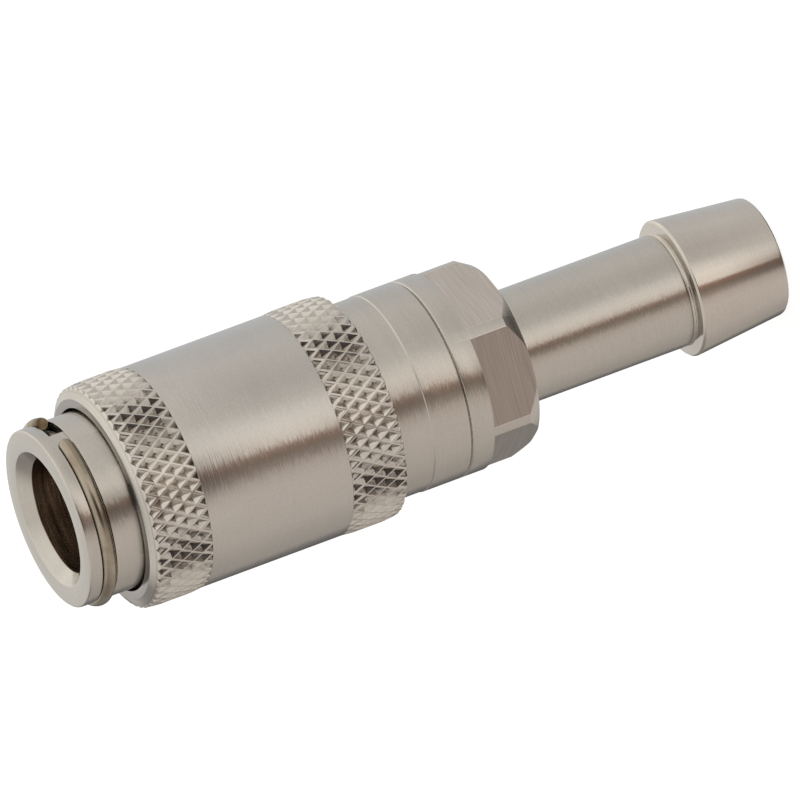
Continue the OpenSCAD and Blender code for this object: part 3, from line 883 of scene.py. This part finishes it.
def make_knurls():
    """The front and the rear band."""
    cells = {
        "whole": pit_mesh("whole_diamond", 0),
        "behind": pit_mesh("half_behind", 1),
        "before": pit_mesh("half_before", -1),
    }
    bevel_strip = run_out("bevel_strip", -1, (0, 0.04, 0.082, 0.11, 0.14, 0.17, 0.20, 0.24, BEVEL_RUN))
    start_strip = run_out("start_strip", -1, (0, REAR_RUN_IN / 2, REAR_RUN_IN))
    end_strip = run_out("end_strip", 1, (0, REAR_RUN_OUT / 2, REAR_RUN_OUT))
    front_bevel = (KNURL_FRONT - BEVEL_BACK, BEVEL_SLOPE)
    front = knurl_band(
        "front_knurl", KNURL_FRONT, FRONT_KNURL_TURN, bevel_in=front_bevel,
        run_in=bevel_strip, run_out=None, **cells)
    rear = knurl_band(
        "rear_knurl", KNURL_REAR, REAR_KNURL_TURN, bevel_out=(0.0, 1.0),
        run_in=start_strip, run_out=end_strip, **cells)
    for cell in (*cells.values(), bevel_strip, start_strip, end_strip):
        bpy.data.objects.remove(cell)
    return front, rear


# Hose tail

def flats_cutter():
    """Six blocks that leave a hexagon, with an open end towards the stem."""
    bm = bmesh.new()
    for k in range(6):
        turn = Matrix.Rotation(math.radians(FLATS_TURN + 60 * k), 4, "Z")
        corners = []
        for x in (FLATS_R, FLATS_R + FLATS_CUT_DEEP):
            for y in (-SHOULDER_R, SHOULDER_R):
                for back in (FLATS_FRONT, FLATS_CUT_REAR):
                    corners.append(bm.verts.new(turn @ (Vector((x, y, LENGTH - back)) * MM)))
        for sides in ((0, 1, 3, 2), (4, 5, 7, 6), (0, 1, 5, 4), (2, 3, 7, 6), (0, 2, 6, 4), (1, 3, 7, 5)):
            bm.faces.new([corners[i] for i in sides])
    return made("flats_cutter", bm)


def ease_flats(thing):
    """A fine bevel on the edges of the spanner flats."""
    with opened(thing) as bm:
        bm.normal_update()
        edges = []
        for e in bm.edges:
            if len(e.link_faces) != 2 or e.calc_face_angle(0) < math.radians(FLATS_EASE_FROM):
                continue
            spots = [LENGTH - v.co.z / MM for v in e.verts]
            radii = [math.hypot(v.co.x, v.co.y) / MM for v in e.verts]
            along = FLATS_FRONT - 0.01 < min(spots) and max(spots) < STEM_FRONT + 0.01
            if along and min(radii) > FLATS_R - 0.01:
                edges.append(e)
        bmesh.ops.bevel(
            bm, geom=edges, offset=FLATS_EASE * MM, segments=2, profile=0.5,
            affect="EDGES", clamp_overlap=True)


def off_flat(face):
    """Degrees between a face's direction and that of the nearest flat."""
    a = math.degrees(math.atan2(face.normal.y, face.normal.x)) - FLATS_TURN
    return abs((a + 30) % 60 - 30)


def on_a_flat(back, radius, face):
    upright = abs(face.normal.z) < 0.01 and off_flat(face) < 0.3
    return FLATS_FRONT - 0.01 < back < STEM_FRONT and upright and radius < SHOULDER_R - 0.1


def on_a_long_edge(back, radius, face):
    """The edges between two flats, which get a bright colour: partly a bright burr, partly a painted
    highlight.
    """
    outside = FLATS_FRONT < back < STEM_FRONT - 0.1 and radius > FLATS_R + 0.6
    return outside and abs(face.normal.z) < 0.3 and 4 < off_flat(face) < 24


def on_a_front_edge(back, radius, face):
    """The edges where the flats' ends run out on the shoulder, which get a dark colour as painted shade."""
    return abs(back - FLATS_FRONT) < FLATS_EASE and radius > FLATS_R + 0.1 and -0.95 < face.normal.z < -0.2


def in_the_tail_bore(back, radius, face):
    return radius < BORE_R + 0.1 or (back < SPRING_SEAT + 0.1 and radius < SPRING_CUP_R + 0.1)


def on_the_barb(back, radius, face):
    return back > RELIEF_REAR - 0.02 and radius > STEM_R - 0.03


def make_tail():
    """The rear piece with the spanner flats, the stem and the barb."""
    tail = turned("tail", [
        (SPIGOT_FRONT, SPRING_CUP_R, 0.03), (SPIGOT_FRONT, SPIGOT_R, 0.06), (JOINT_BACK, SPIGOT_R, 0.02),
        (JOINT_BACK, JOINT_R, 0.01), (JOINT_REAR, SHOULDER_R, 0.03), (SHOULDER_REAR, SHOULDER_R, 0.06),
        (STEM_FRONT, TAIL_CONE_R, 0.12), (STEM_FRONT, STEM_R, 0.35), (RELIEF_FRONT, STEM_R, 0.01),
        (RELIEF_FRONT + RELIEF_SIDE, STEM_R - RELIEF_DEPTH, 0.02),
        (RELIEF_REAR - RELIEF_SIDE, STEM_R - RELIEF_DEPTH, 0.02), (RELIEF_REAR, STEM_R, 0.01),
        (BARB_FRONT, STEM_R, 0.04), (BARB_FACE_REAR, BARB_FACE_R, 0.02), (BARB_BACK, BARB_R, 0.04),
        (LENGTH, BARB_END_R, 0.30), (LENGTH, BORE_EDGE_R, 0.04), (BORE_EDGE, BORE_R, 0.03),
        (SPRING_SEAT, BORE_R, 0.03), (SPRING_SEAT, SPRING_CUP_R, 0.06),
    ])
    cut(tail, flats_cutter())
    give(tail, NICKEL, MILLED, BORE_NICKEL, BARB_NICKEL, BURR_AND_PAINTED_HIGHLIGHT, EDGE_PAINTED_SHADE)
    repaint(tail, MILLED, on_a_flat)
    ease_flats(tail)
    soften(tail, 25)
    milled = tail.data.materials.find(MILLED.name)
    for face in tail.data.polygons:
        if face.material_index == milled:
            face.use_smooth = False
    # Painted highlight, partly a bright burr, on the edges between the flats
    repaint(tail, BURR_AND_PAINTED_HIGHLIGHT, on_a_long_edge)
    # Painted shade on the flats' front edges
    repaint(tail, EDGE_PAINTED_SHADE, on_a_front_edge)
    repaint(tail, BORE_NICKEL, in_the_tail_bore)
    repaint(tail, BARB_NICKEL, on_the_barb)
    return tail


# Stop ring

def on_the_circle(turn):
    """A point of the ring's middle circle at a turn in radians, without its height."""
    return Vector((math.cos(turn), math.sin(turn), 0)) * RING_MID_R


def ring_path():
    """Straight sheared tip, then most of a circle to the rounded end: points and the wire's radii."""
    start = math.radians(RING_TIP_TURN + math.degrees(math.atan(RING_TIP_LENGTH / RING_MID_R)))
    end = math.radians(RING_END_TURN)
    height = Vector((0, 0, LENGTH - RING_BACK))
    tip_way = Vector((math.sin(start), -math.cos(start), 0))
    path, radii = [], []
    # Distances out along the tip, and the share of the wire's full radius there
    for reach, slim in (
        (RING_TIP_LENGTH, 0.74), (1.33, 0.86), (1.22, 0.91), (0.9, 0.955), (0.5, 0.985), (0.2, 1.0),
    ):
        path.append(on_the_circle(start) + tip_way * reach + height)
        radii.append(RING_R * slim)
    for i in range(RING_STEPS + 1):
        path.append(on_the_circle(start + (end - start) * i / RING_STEPS) + height)
        radii.append(RING_R)
    return path, radii


def wire_along(name, path, radii):
    """A round wire along points in millimetres, with its start cut straight and its end rounded."""
    stations = []
    for i, p in enumerate(path):
        ahead = (path[min(i + 1, len(path) - 1)] - path[max(i - 1, 0)]).normalized()
        side = ahead.cross(Vector((0, 0, 1))).normalized()
        up = side.cross(ahead).normalized()
        stations.append((p, side, up, radii[i]))
    # The rounded end goes on in the last directions, by angles in radians
    p, r = path[-1], radii[-1]
    for t in (0.35, 0.7, 1.0, 1.25, 1.45):
        stations.append((p + ahead * r * math.sin(t), side, up, r * math.cos(t)))
    bm = bmesh.new()
    rings = []
    for p, side, up, r in stations:
        ring = []
        for k in range(RING_SIDES):
            a = 2 * math.pi * k / RING_SIDES
            ring.append(bm.verts.new((p + (side * math.cos(a) + up * math.sin(a)) * r) * MM))
        rings.append(ring)
    rod(bm, rings)
    bmesh.ops.remove_doubles(bm, verts=bm.verts, dist=MERGE_WIRE)
    return made(name, bm)


def on_the_sheared_tip(back, radius, face):
    low, high = RING_TIP_SPAN
    return face.center.x > 0 and low * MM < face.center.y < high * MM


def make_stop_wire():
    """The open ring in the nose's groove, which stops the sleeve."""
    wire = wire_along("stop_wire", *ring_path())
    soften(wire, 40)
    give(wire, WIRE, SHEARED)
    repaint(wire, SHEARED, on_the_sheared_tip)
    return wire


# Springs

def coil_tree():
    """Geometry nodes for a compression spring with one close turn at each end."""
    n, ids, pick = start_tree("coil_spring", (
        ("turns", "Turns", "Int"),
        ("wire", "Wire diameter", "Float"),
        ("radius", "Radius to the middle of the wire", "Float"),
        ("length", "Length", "Float"),
        ("base", "Height of its foot", "Float"),
        ("metal", "Finish", "Material"),
    ))
    turns, wire, radius = pick["turns"], pick["wire"], pick["radius"]
    line = n.node("GeometryNodeMeshLine", Count=n.plus(n.times(turns, SPRING_STEPS), 1.0))
    turn = n.over(n.add("GeometryNodeInputIndex").outputs[0], SPRING_STEPS)
    # Close turns lie just clear of each other, and the middle ones share the length that they leave
    close = n.times(wire, 1.03)
    room = n.minus(n.minus(pick["length"], wire), n.times(close, 2.0))
    wide = n.over(room, n.minus(turns, 2.0))
    foot = n.times(n.math("MINIMUM", turn, 1.0), close)
    middle = n.math("MINIMUM", n.math("MAXIMUM", n.minus(turn, 1.0), 0.0), n.minus(turns, 2.0))
    head = n.math("MAXIMUM", n.minus(turn, n.minus(turns, 1.0)), 0.0)
    rise = n.plus(n.plus(foot, n.times(middle, wide)), n.times(head, close))
    height = n.plus(n.plus(pick["base"], n.times(wire, 0.5)), rise)
    angle = n.times(turn, 2 * math.pi)
    across = n.times(radius, n.math("COSINE", angle)), n.times(radius, n.math("SINE", angle))
    wound = n.node("GeometryNodeSetPosition", Geometry=line, Position=n.build(*across, height))
    thread = n.node("GeometryNodeMeshToCurve", Mesh=wound)
    ring = n.node("GeometryNodeCurvePrimitiveCircle", Resolution=SPRING_SIDES, Radius=n.times(wire, 0.5))
    tube = n.node("GeometryNodeCurveToMesh", Curve=thread, Profile_Curve=ring, Fill_Caps=True)
    end_tree(n, n.node("GeometryNodeRealizeInstances", tube), pick["metal"])
    return n.tree, ids


def coil(name, size, foot):
    """A spring from its row of sizes, standing on the seat at foot."""
    turns, wire, radius, length = size
    spring = grown(name, *COIL_TREE, {
        "turns": turns, "wire": wire * MM, "radius": radius * MM, "length": length * MM,
        "base": (LENGTH - foot) * MM, "metal": SPRING,
    })
    with opened(spring) as bm:
        bmesh.ops.remove_doubles(bm, verts=bm.verts, dist=MERGE_WIRE)
    soften(spring, 50)
    return spring


# All pieces

KNURL_TREE = knurl_tree()
COIL_TREE = coil_tree()
nose = make_nose()
shell = make_sleeve_shell()
front_knurl, rear_knurl = make_knurls()
tail = make_tail()
stop_wire = make_stop_wire()
valve_coil = coil("valve_coil", VALVE_SPRING, SPRING_SEAT)
sleeve_coil = coil("sleeve_coil", SLEEVE_SPRING, BODY_FRONT)

# The valve, the seals and the balls keep their solids
give(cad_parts["valve_body"], BORE_NICKEL)
for node in ("body_seal", "guide_seal", "plug_seal", "valve_seal"):
    give(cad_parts[node], RUBBER)
for k in range(1, BALLS + 1):
    give(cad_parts[f"ball_{k}"], STEEL)

for piece, body, slot_name, node in (
    (nose, "coupling_body", "nickel_plate", "nose_body"),
    (shell, "sleeve", "nickel_plate", "locking_sleeve"),
    (front_knurl, "sleeve", "nickel_plate", None),
    (rear_knurl, "sleeve", "nickel_plate", None),
    (tail, "coupling_body", "nickel_plate", "hose_tail"),
    (stop_wire, "coupling_body", "spring_wire", "stop_ring"),
    (valve_coil, "coupling_body", "spring_wire", "valve_spring"),
    (sleeve_coil, "sleeve_spring", "spring_wire", "sleeve_spring"),
):
    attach(piece, body)
    if node:
        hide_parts(node)
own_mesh(valve_coil)


# Floor, light and camera

def studio_floor():
    """White floor that fades into the background, with a faint shadow where the piece stands."""
    bm = bmesh.new()
    bmesh.ops.create_grid(bm, x_segments=8, y_segments=8, size=3.0)
    floor = made("studio_floor", bm, closed=False)
    floor.location.z = -0.02 * MM
    material = bpy.data.materials.new("studio_white")
    material.use_nodes = True
    n = Nodes(material.node_tree)
    material.node_tree.nodes.clear()
    white = n.node("ShaderNodeEmission", Color=(1, 1, 1, 1), Strength=0.88)
    chalk = n.node("ShaderNodeBsdfDiffuse", Color=(0.2, 0.2, 0.2, 1))
    both = n.node("ShaderNodeAddShader", white, chalk)
    clear = n.node("ShaderNodeBsdfTransparent")
    seen = n.add("ShaderNodeLightPath").outputs["Is Camera Ray"]
    above = n.minus(1.0, n.add("ShaderNodeNewGeometry").outputs["Backfacing"])
    mix = n.node("ShaderNodeMixShader", n.times(seen, above), clear, both)
    n.feed(n.add("ShaderNodeOutputMaterial").inputs[0], mix)
    give(floor, material)


def studio_light():
    """A light tent round the piece, with pale walls, a strip light beside the camera, a dark slit for
    its lens and a dark patch behind the piece."""
    lens_rise = 0.326               # how steeply the camera looks down, as a height
    slit_slant = math.radians(17)   # the slit leans this much
    world = bpy.data.worlds.new("light_tent")
    scene.world = world
    world.use_nodes = True
    n = Nodes(world.node_tree)
    world.node_tree.nodes.clear()
    x, y, z = n.split(n.add("ShaderNodeTexCoord").outputs["Generated"])
    turn = n.math("ARCTAN2", n.times(x, -1.0), n.times(y, -1.0))
    slant = n.times(n.plus(z, lens_rise), slit_slant)
    share = n.math("FRACT", n.plus(n.over(n.plus(turn, slant), 2 * math.pi), 0.5))

    def around(*stops):
        """Colours round the piece: each stop is (degrees from the camera's side, red, green, blue)."""
        return n.ramp(share, [(degrees / 360 + 0.5, colour) for degrees, *colour in stops])

    floor_side = around(
        (-180, 0.06, 0.06, 0.06), (-160, 0.08, 0.08, 0.08), (-148, 0.66, 0.64, 0.62),
        (-60, 0.82, 0.79, 0.76), (-35, 0.92, 0.88, 0.84), (-15, 0.86, 0.81, 0.77),
        (-3, 0.62, 0.56, 0.52), (6, 0.20, 0.16, 0.14), (27, 0.15, 0.12, 0.11),
        (40, 0.60, 0.55, 0.51), (62, 0.86, 0.80, 0.75), (120, 0.80, 0.75, 0.71),
        (180, 0.72, 0.69, 0.67),
    )
    walls = around(
        (-178, 0.55, 0.57, 0.59), (-144, 0.72, 0.73, 0.75), (-96, 0.84, 0.82, 0.80),
        (-54, 0.72, 0.69, 0.67), (-34, 0.78, 0.75, 0.72), (-20, 1.10, 1.05, 1.01),
        (-8, 1.27, 1.20, 1.14), (8, 1.20, 1.09, 1.01), (12, 0.42, 0.25, 0.19),
        (20, 0.32, 0.25, 0.21), (27, 0.44, 0.37, 0.33), (36, 0.76, 0.67, 0.62),
        (50, 0.83, 0.75, 0.71), (96, 0.74, 0.68, 0.64), (142, 0.48, 0.45, 0.42),
        (149, 0.27, 0.26, 0.25), (157, 0.20, 0.19, 0.19), (164, 0.13, 0.12, 0.12),
        (178, 0.12, 0.12, 0.12),
    )
    above = around(
        (-180, 0.76, 0.75, 0.73), (-120, 1.30, 1.26, 1.20), (-88, 1.10, 1.07, 1.02),
        (-58, 1.26, 1.21, 1.15), (-30, 1.10, 1.05, 1.00), (-4, 0.82, 0.77, 0.73),
        (5, 0.03, 0.02, 0.02), (34, 0.05, 0.04, 0.04), (44, 0.72, 0.67, 0.63),
        (62, 0.88, 0.83, 0.78), (104, 0.62, 0.58, 0.54), (124, 0.46, 0.43, 0.41),
        (150, 0.38, 0.36, 0.35), (169, 0.36, 0.34, 0.33), (179, 0.76, 0.75, 0.73),
    )
    crown = around(
        (-180, 0.98, 0.96, 0.94), (-120, 1.26, 1.22, 1.17), (-30, 1.15, 1.11, 1.07),
        (30, 0.90, 0.86, 0.82), (120, 0.90, 0.86, 0.82), (180, 0.98, 0.96, 0.94),
    )
    # From the floor up, each pair of heights is where one band gives way to the next
    low = n.blend(n.spread(z, (-0.95, -0.86), (0.0, 1.0)), (0.10, 0.09, 0.08), floor_side)
    sides = n.blend(n.spread(z, (-0.78, -0.50), (0.0, 1.0)), low, walls)
    upper = n.blend(n.spread(z, (0.48, 0.72), (0.0, 1.0)), above, crown)
    tent = n.blend(n.spread(z, (-0.22, 0.03), (0.0, 1.0)), sides, upper)
    seen = n.add("ShaderNodeLightPath").outputs["Is Camera Ray"]
    light = n.node("ShaderNodeBackground", Color=n.blend(seen, tent, (1.0, 1.0, 1.0)))
    n.feed(n.add("ShaderNodeOutputWorld").inputs[0], light)


def camera():
    """Long lens, looking down on the mouth from the side, with the axis running up to the right."""
    right = Vector((-0.3469, -0.3054, -0.8868))
    up = Vector((0.9379, -0.1130, -0.3280))
    back = Vector((0.0, -0.9455, 0.3256))
    aim_right, aim_up, distance = 24.52, 8.34, 2000
    data = bpy.data.cameras.new("camera")
    data.lens = 1291.5
    data.sensor_width = 36
    data.clip_end = 20
    turn = Matrix((right, up, back)).transposed().to_4x4()
    place = Vector((0, 0, LENGTH)) + right * aim_right + up * aim_up + back * distance
    thing = link(data, "camera")
    thing.matrix_world = Matrix.Translation(place * MM) @ turn
    scene.camera = thing


studio_floor()
studio_light()
camera()
scene.view_settings.view_transform = "Standard"
